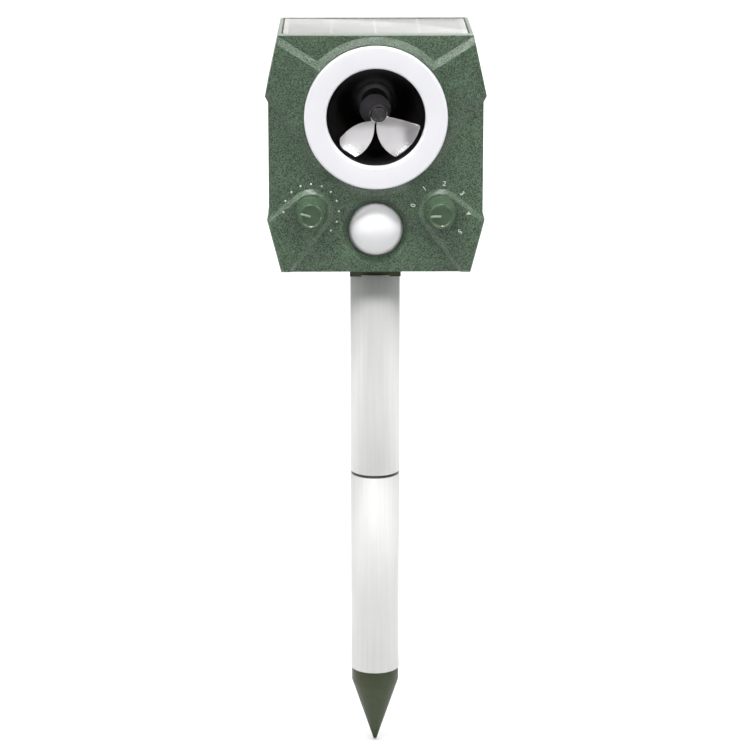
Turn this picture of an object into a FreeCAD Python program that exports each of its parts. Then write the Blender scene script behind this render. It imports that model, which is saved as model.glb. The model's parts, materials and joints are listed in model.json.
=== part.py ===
import FreeCAD, Part
import math
import os
import re
import Sketcher

# Solar ultrasonic pest repeller on a two-piece ground stake.
# Millimetres. The origin is the spike's tip, +Z runs up the stake and -Y is the front.
# Sizes named ..._front are distances in front of the stake's axis, ..._back behind it.

SIZES = {
    # stake, from the ground upwards
    "tube_r": 12.5, "tube_wall": 1.0, "fit_gap": 0.05,
    "spike_high": 41, "spike_band": 7, "spike_r": 12.1, "spike_tip_r": 1.1, "plug_long": 18,
    "tube_long": 105.5, "top_trim": 1.1, "ring_high": 1.5, "ring_r": 12.3, "sleeve_wall": 2.0,
    "neck_high": 7, "neck_wide": 25.4, "neck_front": 14, "neck_back": 13, "notch_wide": 14,
    "notch_deep": 3, "core_r": 6, "neck_screw_x": 9, "neck_screw_y": 9,
    # case
    "case_high": 116.2, "top_half": 47.2, "bottom_half": 46.4, "side_half": 52.2,
    "upper_kink": 53.7, "lower_kink": 53.2, "upper_kink_up": 86.8, "lower_kink_up": 26.2,
    "kink_run": 3, "face_front": 34.5, "seam_front": 27, "case_back": 34, "wall": 2.2,
    "roof": 3.0, "relief": 2.0, "bevel": 60, "overhang": 2.4, "pad_bevel": 46, "pad_overhang": 1.2,
    "wing_foot_x": 28.6, "wing_foot_down": 22.1, "wing_root_x": 8, "wing_root_up": 14.5,
    "seal_thick": 1.0, "seal_half": 2.0,
    "boss_r": 4.8, "well_r": 3.3, "well_floor": 14, "hole_r": 1.5, "pilot_r": 1.24,
    "upper_boss_x": 40.5, "upper_boss_up": 104.6, "lower_boss_x": 39.5, "lower_boss_up": 8.8,
    # light ring and horn, round a centre part-way up the case
    "horn_up": 76.7, "ring_in_r": 24.0, "ring_out_r": 34.8, "ring_front": 39.5,
    "ring_seat_front": 34.2, "ring_plate": 1.8, "ring_edge": 0.6, "seat_gap": 0.1, "collar_r": 38.9,
    "mouth_front": 34.5, "horn_wall": 1.6, "horn_rim": 3.0, "horn_flange_r": 36.3,
    "horn_back": 14, "throat_r": 9.5, "bowl_r": 20.4, "bowl_front": 12, "driver_r": 16.5,
    "driver_deep": 8, "ear_at": 28.6, "ear_r": 4.6, "board_thick": 1.6, "led_count": 12,
    "led_at": 29.2, "led_wide": 3.2, "led_high": 1.6,
    "plug_r": 6.8, "plug_lip_r": 7.6, "plug_front": 12.6, "plug_lip": 2.4, "plug_step": 0.8,
    "stem_r": 3.2, "stem_side": 1.4, "hub_r": 3.9, "hub_front": 28.5, "hub_thick": 2.6,
    "leaf_thick": 0.8, "leaf_reach": 22.5, "leaf_hub_r": 4.4, "leaf_lift": 5.4, "dish_r": 24.5,
    "tag_x": 3, "tag_wide": 0.8, "tag_low": 12, "tag_high": 3, "tag_long": 1.6,
    # motion sensor
    "eye_up": 20.4, "eye_r": 13, "eye_gap": 0.3, "eye_front": 39.5, "eye_base_front": 30.5,
    "eye_skin": 1.0, "eye_flange_r": 15.5, "eye_flange": 1.0, "crater_r": 16.2, "crater_deep": 3.6,
    "crater_lean": 34, "eye_boss_r": 17.6, "can_r": 4.6, "can_high": 4.2, "can_brim": 0.5,
    # knobs and their potentiometers
    "knob_x": 31.6, "knob_up": 30.3, "knob_r": 8.1, "knob_top_r": 6.1, "knob_high": 12,
    "knob_lift": 0.4, "knob_skirt": 1.2, "knob_dish": 0.7, "knob_rim": 0.9, "bore_roof": 2,
    "pointer_wide": 0.8, "pointer_long": 5.2, "pointer_high": 0.8, "left_knob_turn": 16,
    "grip_count": 7, "grip_first": 42.6, "grip_wide": 0.7, "grip_in": 5.8, "grip_out": 7.2,
    "grip_front": 7.4,
    "shaft_r": 3, "shaft_slot": 0.04, "shaft_hole_r": 3.8, "pot_wide": 11, "pot_deep": 7, "pot_floor": 1,
    "bush_r": 4.5, "bush_long": 5, "hub_pad_r": 10.9, "dot_r": 0.45, "dot_high": 0.3,
    "dot_at": 13.5, "dot_step": 22.5, "dot_count": 11, "pad_foot_x": 42.8,
    # main board
    "board_front": 18, "board_low_up": 14.6, "board_high_up": 48.6, "board_half": 42,
    "post_r": 3, "post_x": 38.8, "post_low_up": 18.4, "post_high_up": 44.8,
    # solar panel
    "panel_half": 44.9, "panel_back": 32.6, "gasket": 0.7, "recess": 1.6, "cell_thick": 0.8,
    "cover_thick": 0.5, "cell_count": 4, "cell_gap": 1.2, "cell_margin": 2.5, "cell_film": 0.3,
    # battery compartment
    "cell_r": 7.1, "cell_long": 50.4, "cell_pitch": 14.6, "bay_up": 31, "bay_half": 29,
    "bay_half_high": 22.6, "bay_front": -13.6, "tray_wall": 1.4, "door_half": 33,
    "door_half_high": 26, "door_gap": 0.3, "door_thick": 1.6, "rim_half": 34.4,
    "rim_half_high": 27.5, "door_screw_x": 31, "door_screw_z": 24, "spring_thick": 0.5,
    "nipple_r": 2.7, "nipple_high": 1.0, "seal_band": 1.4, "tray_rim": 1.6, "cell_play": 0.6,
    "contact_half": 5, "spring_long": 1.9, "stud_contact": 1.4, "door_screw_long": 4,
    # switch and charging port, on the rear face above the door
    "port_up": 80, "switch_x": -15, "usb_x": 15, "io_half": 24, "io_half_high": 9,
    "io_back": 24.4, "switch_long": 13, "switch_high": 6, "slot_long": 9, "slot_high": 3.4,
    "slider_long": 3.2, "slider_high": 2.4, "slider_proud": 1.6, "slider_travel": 4,
    "slider_deep": 1.6, "track_deep": 2,
    "usb_wide": 7.6, "usb_high": 2.9, "usb_skin": 0.4, "usb_floor": 1, "tongue_half": 0.3,
    "usb_hole_wide": 9.6, "usb_hole_high": 3.8, "flap_wide": 15, "flap_high": 9,
    "flap_thick": 1.5, "flap_gap": 0.1, "stud_wide": 8.4, "stud_high": 2.6, "stud_long": 1.2,
    "tether_high": 3,
    # fastener sizes
    "screw_r": 1.2, "screw_head_r": 2.4, "screw_head": 1.8, "screw_long": 9,
}

# Heights worked out from the sizes above.
LOW_TUBE_TOP = "spike_high + tube_long"
UP_TUBE_LOW = f"{LOW_TUBE_TOP} + ring_high"
UP_TUBE_TOP = f"{UP_TUBE_LOW} + tube_long - top_trim"
CASE_LOW = f"{UP_TUBE_TOP} + neck_high"
CASE_TOP = f"{CASE_LOW} + case_high"
HORN_Z = f"{CASE_LOW} + horn_up"
EYE_Z = f"{CASE_LOW} + eye_up"
KNOB_Z = f"{CASE_LOW} + knob_up"
BAY_Z = f"{CASE_LOW} + bay_up"
PORT_Z = f"{CASE_LOW} + port_up"
SKIN_FRONT = "face_front - wall"
LED_BOARD_BACK = f"{SKIN_FRONT} - board_thick"

doc = FreeCAD.newDocument("pest_repeller")
sheet = doc.addObject("Spreadsheet::Sheet", "size")
for row, (alias, amount) in enumerate(SIZES.items(), start=1):
    sheet.set(f"A{row}", alias)
    sheet.set(f"B{row}", str(amount))
    sheet.setAlias(f"B{row}", alias)
doc.recompute()

nodes = []


def cell(text):
    """Write an expression with every driving size as its spreadsheet cell."""
    return re.sub(r"[a-z]\w*", lambda m: f"size.{m.group()}" if m.group() in SIZES else m.group(), text)


def number(text):
    """Work out an expression's present value."""
    return float(sheet.evalExpression(cell(text)))


def bind(thing, **texts):
    """Bind properties to expressions; a double underscore stands for a dot."""
    for name, text in texts.items():
        thing.setExpression(name.replace("__", "."), cell(text))


def node(thing, label):
    """Name a finished sub-part, so that it is checked and exported."""
    thing.Label = label
    nodes.append(thing)
    return thing


# ---- Sketched solids ----

def body(label):
    return doc.addObject("PartDesign::Body", label)


def sketch(owner, role, lift="0"):
    """Start a sketch on one of the body's origin planes, lifted along the plane's normal."""
    plane = next(item for item in owner.Origin.OriginFeatures if item.Role == role)
    drawn = owner.newObject("Sketcher::SketchObject", "outline")
    drawn.AttachmentSupport = [(plane, "")]
    drawn.MapMode = "FlatFace"
    bind(drawn, AttachmentOffset__Base__z=lift)
    return drawn


def pin_point(drawn, index, end, x, y):
    """Hold one sketch point at a pair of expressions."""
    for kind, text in (("DistanceX", x), ("DistanceY", y)):
        number_of = drawn.addConstraint(Sketcher.Constraint(kind, -1, 1, index, end, number(text)))
        drawn.setExpression(f"Constraints[{number_of}]", cell(text))


def vector(x, y):
    return FreeCAD.Vector(number(x), number(y), 0)


def closed(drawn, points):
    """Draw a closed outline. A point of four values ends an arc that passes through its first two."""
    first = drawn.GeometryCount
    ends = [point[-2:] for point in points]
    joints = []
    for index, point in enumerate(points):
        start = vector(*ends[index - 1])
        finish = vector(*ends[index])
        if len(point) == 2:
            drawn.addGeometry(Part.LineSegment(start, finish))
            joints.append((1, 2))
            continue
        middle = vector(*point[:2])
        turn = (middle - start).cross(finish - middle).z
        drawn.addGeometry(Part.Arc(start, middle, finish))
        joints.append((1, 2) if turn > 0 else (2, 1))
    for index in range(len(points)):
        after = (index + 1) % len(points)
        finish = (first + index, joints[index][1])
        start = (first + after, joints[after][0])
        drawn.addConstraint(Sketcher.Constraint("Coincident", *finish, *start))
        pin_point(drawn, *finish, *ends[index])
    for index, point in enumerate(points):
        if len(point) == 4:
            guide = drawn.addGeometry(Part.Point(vector(*point[:2])), True)
            pin_point(drawn, guide, 1, *point[:2])
            drawn.addConstraint(Sketcher.Constraint("PointOnObject", guide, 1, first + index))
    return drawn


def circles(drawn, centres, radius):
    """Draw equal circles at the given centres."""
    for x, y in centres:
        index = drawn.addGeometry(Part.Circle(vector(x, y), FreeCAD.Vector(0, 0, 1), number(radius)))
        size = drawn.addConstraint(Sketcher.Constraint("Radius", index, number(radius)))
        drawn.setExpression(f"Constraints[{size}]", cell(radius))
        pin_point(drawn, index, 3, x, y)
    return drawn


def rectangle(drawn, x, y):
    return closed(drawn, [(x[0], y[0]), (x[1], y[0]), (x[1], y[1]), (x[0], y[1])])


def pad(owner, drawn, length, taper="0"):
    feature = owner.newObject("PartDesign::Pad", "pad")
    feature.Profile = drawn
    bind(feature, Length=length, TaperAngle=taper)
    return feature


def pocket(owner, drawn, depth, along_normal=False, taper="0"):
    """Cut against the sketch's normal, or along it."""
    doc.recompute()
    before = owner.Shape.Volume
    feature = owner.newObject("PartDesign::Pocket", "pocket")
    feature.Profile = drawn
    feature.Reversed = along_normal
    bind(feature, Length=depth, TaperAngle=taper)
    doc.recompute()
    if not owner.Shape.Volume < before:
        raise RuntimeError(f"{owner.Name}: {feature.Name} cuts nothing")
    return feature


def turned(label, points, axis):
    """Revolve a profile: along Y (H_Axis, points are y and radius) or along Z (V_Axis, radius and z)."""
    owner = body(label)
    role = {"H_Axis": "YZ_Plane", "V_Axis": "XZ_Plane"}[axis]
    drawn = closed(sketch(owner, role), points)
    feature = owner.newObject("PartDesign::Revolution", "turn")
    feature.Profile = drawn
    feature.ReferenceAxis = (drawn, [axis])
    feature.Angle = 360
    return owner


def mirrored(owner, features):
    """Repeat features on the other side of the YZ plane."""
    plane = next(item for item in owner.Origin.OriginFeatures if item.Role == "YZ_Plane")
    copy = owner.newObject("PartDesign::Mirrored", "mirror")
    copy.Originals = features
    copy.MirrorPlane = (plane, [""])
    owner.Tip = copy
    return copy


# ---- Primitive solids ----

def place(thing, x="0", y="0", z="0"):
    bind(thing, Placement__Base__x=x, Placement__Base__y=y, Placement__Base__z=z)
    return thing


def block(x, y, z):
    """Make a box between two expressions on each axis."""
    solid = doc.addObject("Part::Box", "block")
    bind(solid, Length=f"({x[1]}) - ({x[0]})", Width=f"({y[1]}) - ({y[0]})", Height=f"({z[1]}) - ({z[0]})")
    return place(solid, x[0], y[0], z[0])


def rod(x, y, z, radius, length, along="Z"):
    """Make a cylinder that starts at x, y, z and runs along +X, +Y, -Y or +Z."""
    solid = doc.addObject("Part::Cylinder", "rod")
    bind(solid, Radius=radius, Height=length)
    tilt = {"Z": (1, 0, 0, 0), "Y": (1, 0, 0, -90), "-Y": (1, 0, 0, 90), "X": (0, 1, 0, 90)}[along]
    solid.Placement.Rotation = FreeCAD.Rotation(FreeCAD.Vector(*tilt[:3]), tilt[3])
    return place(solid, x, y, z)


def fused(solids):
    joined = doc.addObject("Part::MultiFuse", "fusion")
    joined.Shapes = solids
    return joined


def cut(base, tools):
    result = doc.addObject("Part::Cut", "cut")
    result.Base = base
    result.Tool = tools[0] if len(tools) == 1 else fused(tools)
    return result


def screw(x, y, z, along, length="screw_long"):
    """Make a pan-head screw whose head rests at x, y, z; the shank runs along Y, -Y or -Z."""
    if along == "-Z":
        head = rod(x, y, z, "screw_head_r", "screw_head")
        shank = rod(x, y, f"{z} - ({length})", "screw_r", f"({length}) + screw_head/2")
        return fused([head, shank])
    back = {"Y": "-Y", "-Y": "Y"}[along]
    start = f"{y} + screw_head/2" if along == "-Y" else f"{y} - screw_head/2"
    head = rod(x, y, z, "screw_head_r", "screw_head", back)
    shank = rod(x, start, z, "screw_r", f"({length}) + screw_head/2", along)
    return fused([head, shank])


# ---- Shared outlines and positions ----

def both_sides(points):
    """Complete a right-hand outline, listed from top to bottom, with its mirror image."""
    left = [(f"-({x})", z) for x, z in reversed(points)]
    return points + left


def case_outline():
    """Give the case's eight-sided outline, flared at the wings and the knob pads."""
    return both_sides([
        ("top_half", CASE_TOP),
        ("upper_kink", f"{CASE_LOW} + upper_kink_up"),
        ("side_half", f"{CASE_LOW} + upper_kink_up - kink_run"),
        ("side_half", f"{CASE_LOW} + lower_kink_up + kink_run"),
        ("lower_kink", f"{CASE_LOW} + lower_kink_up"),
        ("bottom_half", CASE_LOW),
    ])


def cavity_outline(inset="0"):
    """Give the outline of the case's inside, or a line further in."""
    return both_sides([
        (f"top_half - wall - ({inset})", f"{CASE_TOP} - roof - ({inset})"),
        (f"side_half - wall - ({inset})", f"{CASE_LOW} + upper_kink_up"),
        (f"side_half - wall - ({inset})", f"{CASE_LOW} + lower_kink_up"),
        (f"bottom_half - wall - ({inset})", f"{CASE_LOW} + wall + {inset}"),
    ])


def corners(x, *heights):
    """Give the points at plus and minus x for every height."""
    return [(sign + x, height) for height in heights for sign in ("", "-")]


UPPER_BOSSES = corners("upper_boss_x", f"{CASE_LOW} + upper_boss_up")
LOWER_BOSSES = corners("lower_boss_x", f"{CASE_LOW} + lower_boss_up")
CASE_BOSSES = UPPER_BOSSES + LOWER_BOSSES
HORN_EARS = corners("ear_at", f"{HORN_Z} + ear_at", f"{HORN_Z} - ear_at")
BOARD_POSTS = corners("post_x", f"{CASE_LOW} + post_low_up", f"{CASE_LOW} + post_high_up")
KNOBS = corners("knob_x", KNOB_Z)
DOOR_SCREWS = corners("door_screw_x", f"{BAY_Z} + door_screw_z", f"{BAY_Z} - door_screw_z")
NECK_SCREWS = [(x, y) for x in ("neck_screw_x", "-neck_screw_x") for y in ("neck_screw_y", "-neck_screw_y")]


# ---- Stake ----

def make_spike():
    """A moulded point: shoulder band, long cone and a plug pushed into the lower tube."""
    node(turned("spike", [
        ("0", "0"),
        ("spike_tip_r*sin(45)", "spike_tip_r - spike_tip_r*cos(45)", "spike_tip_r", "spike_tip_r"),
        ("spike_r", "spike_high - spike_band"),
        ("spike_r", "spike_high"),
        ("tube_r - tube_wall - fit_gap", "spike_high"),
        ("tube_r - tube_wall - fit_gap", "spike_high + plug_long"),
        ("tube_r - tube_wall - sleeve_wall", "spike_high + plug_long"),
        ("tube_r - tube_wall - sleeve_wall", "spike_high - spike_band"),
        ("0", "spike_high - 2*spike_band"),
    ], "V_Axis"), "spike")


def make_tube(label, low, high):
    node(turned(label, [
        ("tube_r - tube_wall", low),
        ("tube_r", low),
        ("tube_r", high),
        ("tube_r - tube_wall", high),
    ], "V_Axis"), label)


def make_coupler():
    """A plastic sleeve with a thin collar that shows between the two tubes."""
    spigot = "tube_r - tube_wall - fit_gap"
    node(turned("coupler", [
        (f"{spigot} - sleeve_wall", f"{LOW_TUBE_TOP} - plug_long"),
        (spigot, f"{LOW_TUBE_TOP} - plug_long"),
        (spigot, LOW_TUBE_TOP),
        ("ring_r", LOW_TUBE_TOP),
        ("ring_r", UP_TUBE_LOW),
        (spigot, UP_TUBE_LOW),
        (spigot, f"{UP_TUBE_LOW} + plug_long"),
        (f"{spigot} - sleeve_wall", f"{UP_TUBE_LOW} + plug_long"),
    ], "V_Axis"), "coupler")


def make_neck():
    """The block under the case, with a spigot for the upper tube and a core that centres it in the floor."""
    owner = body("neck")
    foot = rectangle(sketch(owner, "XY_Plane", UP_TUBE_TOP), ("-neck_wide/2", "neck_wide/2"),
                     ("-neck_front", "neck_back"))
    pad(owner, foot, "neck_high")
    spigot = circles(sketch(owner, "XY_Plane", f"{UP_TUBE_TOP} - plug_long"), [("0", "0")],
                     "tube_r - tube_wall - fit_gap")
    pad(owner, spigot, "plug_long")
    core = circles(sketch(owner, "XY_Plane", CASE_LOW), [("0", "0")], "core_r")
    pad(owner, core, "wall")
    hollow = circles(sketch(owner, "XY_Plane", f"{UP_TUBE_TOP} - plug_long"), [("0", "0")],
                     "tube_r - tube_wall - sleeve_wall")
    pocket(owner, hollow, "plug_long", along_normal=True)
    notch = rectangle(sketch(owner, "XY_Plane", UP_TUBE_TOP), ("-notch_wide/2", "notch_wide/2"),
                      ("-neck_front", "-neck_front + notch_deep"))
    pocket(owner, notch, "neck_high - wall", along_normal=True)
    holes = circles(sketch(owner, "XY_Plane", CASE_LOW), NECK_SCREWS, "screw_r")
    pocket(owner, holes, "neck_high - wall")
    node(owner, "neck")


def make_neck_screws():
    floor = f"{CASE_LOW} + wall"
    node(fused([screw(x, y, floor, "-Z", "neck_high - wall/2") for x, y in NECK_SCREWS]), "neck_screws")


# ---- Case ----

def add_wings(owner):
    """Raise the two wings and the collar round the light ring; their inner ends lie under the ring."""
    wing = closed(sketch(owner, "XZ_Plane", "face_front"), [
        ("top_half + overhang", f"{CASE_TOP} + overhang/2"),
        ("upper_kink + overhang", f"{CASE_LOW} + upper_kink_up + overhang"),
        ("wing_foot_x", f"{HORN_Z} - wing_foot_down"),
        ("wing_root_x", f"{HORN_Z} - wing_root_x"),
        ("wing_root_x", f"{HORN_Z} + wing_root_up"),
    ])
    collar = circles(sketch(owner, "XZ_Plane", "face_front"), [("0", HORN_Z)], "collar_r")
    raised = pad(owner, wing, "relief", "-bevel")
    mirrored(owner, [raised])
    pad(owner, collar, "relief", "-bevel")


def add_knob_pads(owner):
    """Raise a pad round each knob that widens to the case's lower corner."""
    drawn = sketch(owner, "XZ_Plane", "face_front")
    corner = [
        ("lower_kink + pad_overhang", f"{CASE_LOW} + lower_kink_up - pad_overhang/2"),
        ("bottom_half + pad_overhang", f"{CASE_LOW} - pad_overhang"),
        ("pad_foot_x - pad_overhang", f"{CASE_LOW} - pad_overhang"),
    ]
    points = [vector(*point) for point in corner]
    centre = vector("knob_x", KNOB_Z)
    radius = number("hub_pad_r")
    diagonal = FreeCAD.Vector(radius, radius, 0) * math.sqrt(1 / 2)
    drawn.addGeometry(Part.LineSegment(points[0], points[1]))
    drawn.addGeometry(Part.LineSegment(points[1], points[2]))
    drawn.addGeometry(Part.LineSegment(points[2], centre - diagonal))
    drawn.addGeometry(Part.ArcOfCircle(
        Part.Circle(centre, FreeCAD.Vector(0, 0, 1), radius), math.pi / 4, 5 * math.pi / 4))
    drawn.addGeometry(Part.LineSegment(centre + diagonal, points[0]))
    for index, point in enumerate(corner):
        pin_point(drawn, index, 1, *point)
    pin_point(drawn, 3, 3, "knob_x", KNOB_Z)
    size = drawn.addConstraint(Sketcher.Constraint("Radius", 3, radius))
    drawn.setExpression(f"Constraints[{size}]", cell("hub_pad_r"))
    drawn.addConstraint(Sketcher.Constraint("Coincident", 0, 2, 1, 1))
    drawn.addConstraint(Sketcher.Constraint("Coincident", 1, 2, 2, 1))
    drawn.addConstraint(Sketcher.Constraint("Coincident", 4, 2, 0, 1))
    drawn.addConstraint(Sketcher.Constraint("Tangent", 2, 2, 3, 2))
    drawn.addConstraint(Sketcher.Constraint("Tangent", 4, 1, 3, 1))
    raised = pad(owner, drawn, "relief", "-pad_bevel")
    mirrored(owner, [raised])


def trim_to_outline(owner):
    """Cut away what the wings and pads leave outside the case's outline."""
    drawn = sketch(owner, "XZ_Plane", "face_front")
    far = "2*side_half"
    rectangle(drawn, (f"-{far}", far), (f"{CASE_LOW} - side_half", f"{CASE_TOP} + side_half"))
    closed(drawn, case_outline())
    pocket(owner, drawn, "2*relief", along_normal=True)


def make_front_cover():
    owner = body("front_cover")
    pad(owner, closed(sketch(owner, "XZ_Plane", "seam_front"), case_outline()), "face_front - seam_front")
    add_wings(owner)
    add_knob_pads(owner)
    trim_to_outline(owner)
    inside = closed(sketch(owner, "XZ_Plane", "seam_front"), cavity_outline())
    pocket(owner, inside, f"{SKIN_FRONT} - seam_front", along_normal=True)
    eye = [("0", EYE_Z)]
    ring = [("0", HORN_Z)]
    eye_floor = "face_front - crater_deep - eye_skin"
    pad(owner, circles(sketch(owner, "XZ_Plane", eye_floor), eye, "eye_boss_r"),
        f"{SKIN_FRONT} - ({eye_floor})")
    pad(owner, circles(sketch(owner, "XZ_Plane", "board_front"), BOARD_POSTS, "post_r"),
        f"{SKIN_FRONT} - board_front")
    pad(owner, circles(sketch(owner, "XZ_Plane", "seam_front"), CASE_BOSSES, "boss_r"),
        f"{SKIN_FRONT} - seam_front")
    pad(owner, circles(sketch(owner, "XZ_Plane", LED_BOARD_BACK), HORN_EARS, "post_r"), "board_thick")
    front = "face_front + relief"
    pocket(owner, circles(sketch(owner, "XZ_Plane", front), ring, "ring_out_r + seat_gap"),
           f"{front} - ring_seat_front")
    pocket(owner, circles(sketch(owner, "XZ_Plane", front), ring, "ring_out_r - wall"), "wall*4")
    pocket(owner, circles(sketch(owner, "XZ_Plane", "face_front"), eye, "crater_r"), "crater_deep",
           taper="-crater_lean")
    pocket(owner, circles(sketch(owner, "XZ_Plane", "face_front"), eye, "eye_r + eye_gap"), "wall*4")
    pocket(owner, circles(sketch(owner, "XZ_Plane", front), KNOBS, "shaft_hole_r"), "wall*4")
    pocket(owner, circles(sketch(owner, "XZ_Plane", "board_front"), BOARD_POSTS, "pilot_r"),
           "screw_long", along_normal=True)
    pocket(owner, circles(sketch(owner, "XZ_Plane", "seam_front"), CASE_BOSSES, "pilot_r"),
           f"{SKIN_FRONT} - seam_front", along_normal=True)
    pocket(owner, circles(sketch(owner, "XZ_Plane", LED_BOARD_BACK), HORN_EARS, "pilot_r"),
           "board_thick + wall/2", along_normal=True)
    node(owner, "front_cover")


def make_rear_housing():
    owner = body("rear_housing")
    depth = "seam_front + case_back"
    outside = closed(sketch(owner, "XZ_Plane", "-case_back"), case_outline())
    pad(owner, outside, depth)
    pocket(owner, closed(sketch(owner, "XZ_Plane", "seam_front"), cavity_outline()), f"{depth} - wall")
    pad(owner, circles(sketch(owner, "XZ_Plane", "wall - case_back"), CASE_BOSSES, "boss_r"),
        f"{depth} - wall")
    wells = circles(sketch(owner, "XZ_Plane", "-case_back"), CASE_BOSSES, "well_r")
    pocket(owner, wells, "case_back + well_floor", along_normal=True)
    holes = circles(sketch(owner, "XZ_Plane", "-case_back"), CASE_BOSSES, "hole_r")
    pocket(owner, holes, depth, along_normal=True)
    wide = "panel_half + gasket"
    recess = rectangle(sketch(owner, "XY_Plane", CASE_TOP), (f"-({wide})", wide),
                       ("-seam_front", "panel_back + gasket"))
    pocket(owner, recess, "recess")
    lead = circles(sketch(owner, "XY_Plane", CASE_TOP), [("0", "bay_half")], "well_r")
    pocket(owner, lead, "roof + wall")
    rear = "-case_back"
    door = rectangle(sketch(owner, "XZ_Plane", rear), ("-door_half", "door_half"),
                     (f"{BAY_Z} - door_half_high", f"{BAY_Z} + door_half_high"))
    pocket(owner, door, "wall", along_normal=True)
    slot = rectangle(sketch(owner, "XZ_Plane", rear), ("switch_x - slot_long/2", "switch_x + slot_long/2"),
                     (f"{PORT_Z} - slot_high/2", f"{PORT_Z} + slot_high/2"))
    pocket(owner, slot, "wall", along_normal=True)
    usb = rectangle(sketch(owner, "XZ_Plane", rear), ("usb_x - usb_hole_wide/2", "usb_x + usb_hole_wide/2"),
                    (f"{PORT_Z} - usb_hole_high/2", f"{PORT_Z} + usb_hole_high/2"))
    pocket(owner, usb, "wall", along_normal=True)
    pocket(owner, circles(sketch(owner, "XY_Plane", CASE_LOW), [("0", "0")], "core_r + seat_gap"),
           "wall", along_normal=True)
    pocket(owner, circles(sketch(owner, "XY_Plane", CASE_LOW), NECK_SCREWS, "hole_r"),
           "wall", along_normal=True)
    node(owner, "rear_housing")


def make_case_seal():
    """A rubber band that lines the seam from the inside."""
    owner = body("case_seal")
    band = sketch(owner, "XZ_Plane", "seam_front - seal_half")
    closed(band, cavity_outline("seat_gap"))
    closed(band, cavity_outline("seat_gap + seal_thick"))
    pad(owner, band, "2*seal_half")
    node(owner, "case_seal")


def make_case_screws():
    length = f"{SKIN_FRONT} - well_floor - wall/2"
    node(fused([screw(x, "-well_floor", z, "-Y", length) for x, z in CASE_BOSSES]), "case_screws")


# ---- Light ring and horn ----

def round_part(label, points):
    """Turn a part about the horn's axis; points are distance in front and radius."""
    part = turned(label, [tuple(f"-({v})" if i % 2 == 0 else v for i, v in enumerate(p)) for p in points],
                  "H_Axis")
    return place(part, z=HORN_Z)


def make_light_ring():
    """A translucent channel ring, open towards the lamps behind it."""
    node(round_part("light_ring", [
        ("mouth_front", "ring_in_r"),
        ("ring_front - ring_edge", "ring_in_r"),
        ("ring_front", "ring_in_r + ring_edge"),
        ("ring_front", "ring_out_r - ring_edge"),
        ("ring_front - ring_edge", "ring_out_r"),
        ("ring_seat_front", "ring_out_r"),
        ("ring_seat_front", "ring_out_r - ring_plate"),
        ("ring_front - ring_plate", "ring_out_r - ring_plate"),
        ("ring_front - ring_plate", "ring_in_r + ring_plate"),
        ("mouth_front", "ring_in_r + ring_plate"),
    ]), "light_ring")


def make_led_board():
    node(round_part("led_board", [
        (LED_BOARD_BACK, "ring_in_r + horn_rim + seat_gap"),
        (SKIN_FRONT, "ring_in_r + horn_rim + seat_gap"),
        (SKIN_FRONT, "horn_flange_r - wall/2"),
        (LED_BOARD_BACK, "horn_flange_r - wall/2"),
    ]), "led_board")


def make_leds():
    """Lamps on the ring board, one every twelfth of a turn."""
    lamps = []
    for index in range(int(number("led_count"))):
        lamp = block(("-led_wide/2", "led_wide/2"), (f"-({SKIN_FRONT}) - led_high", f"-({SKIN_FRONT})"),
                     ("0", "led_wide"))
        angle = f"{index} * 360 / led_count"
        lamp.Placement.Rotation = FreeCAD.Rotation(FreeCAD.Vector(0, 1, 0), number(angle))
        place(lamp, f"led_at*sin({angle}) - led_wide/2*cos({angle})", f"-({SKIN_FRONT}) - led_high",
              f"{HORN_Z} + led_at*cos({angle}) + led_wide/2*sin({angle})")
        lamps.append(lamp)
    node(fused(lamps), "leds")


def make_horn():
    """A bowl-shaped horn with a clamping flange behind the ring board and a rear flange for its driver."""
    outer = "ring_in_r + horn_rim"
    flange_back = f"{LED_BOARD_BACK} - horn_wall"
    owner = round_part("horn", [
        ("mouth_front", outer),
        (LED_BOARD_BACK, outer),
        (LED_BOARD_BACK, "horn_flange_r"),
        (flange_back, "horn_flange_r"),
        (flange_back, "ring_in_r + horn_wall"),
        ("bowl_front", "bowl_r + horn_wall", "horn_wall - horn_back", "throat_r + 2*horn_wall"),
        ("horn_wall - horn_back", "driver_r"),
        ("-horn_back", "driver_r"),
        ("-horn_back", "throat_r"),
        ("bowl_front", "bowl_r", "mouth_front", "ring_in_r"),
    ])
    ears = [(x, z.replace(HORN_Z, "0")) for x, z in HORN_EARS]
    pad(owner, circles(sketch(owner, "XZ_Plane", flange_back), ears, "ear_r"), "horn_wall")
    pocket(owner, circles(sketch(owner, "XZ_Plane", flange_back), ears, "hole_r"), "horn_wall",
           along_normal=True)
    node(owner, "horn")


def make_horn_screws():
    back = f"-({LED_BOARD_BACK} - horn_wall)"
    length = "horn_wall + board_thick + wall/2"
    node(fused([screw(x, back, z, "-Y", length) for x, z in HORN_EARS]), "horn_screws")


def make_horn_driver():
    """A round piezo driver behind the horn, with two terminals."""
    can = rod("0", "horn_back", HORN_Z, "driver_r", "driver_deep", "Y")
    tags = [block((f"{side}tag_x - tag_wide/2", f"{side}tag_x + tag_wide/2"),
                  ("horn_back + driver_deep/2", "horn_back + driver_deep + tag_long"),
                  (f"{HORN_Z} - tag_low", f"{HORN_Z} - tag_low + tag_high")) for side in ("", "-")]
    node(fused([can] + tags), "horn_driver")


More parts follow.
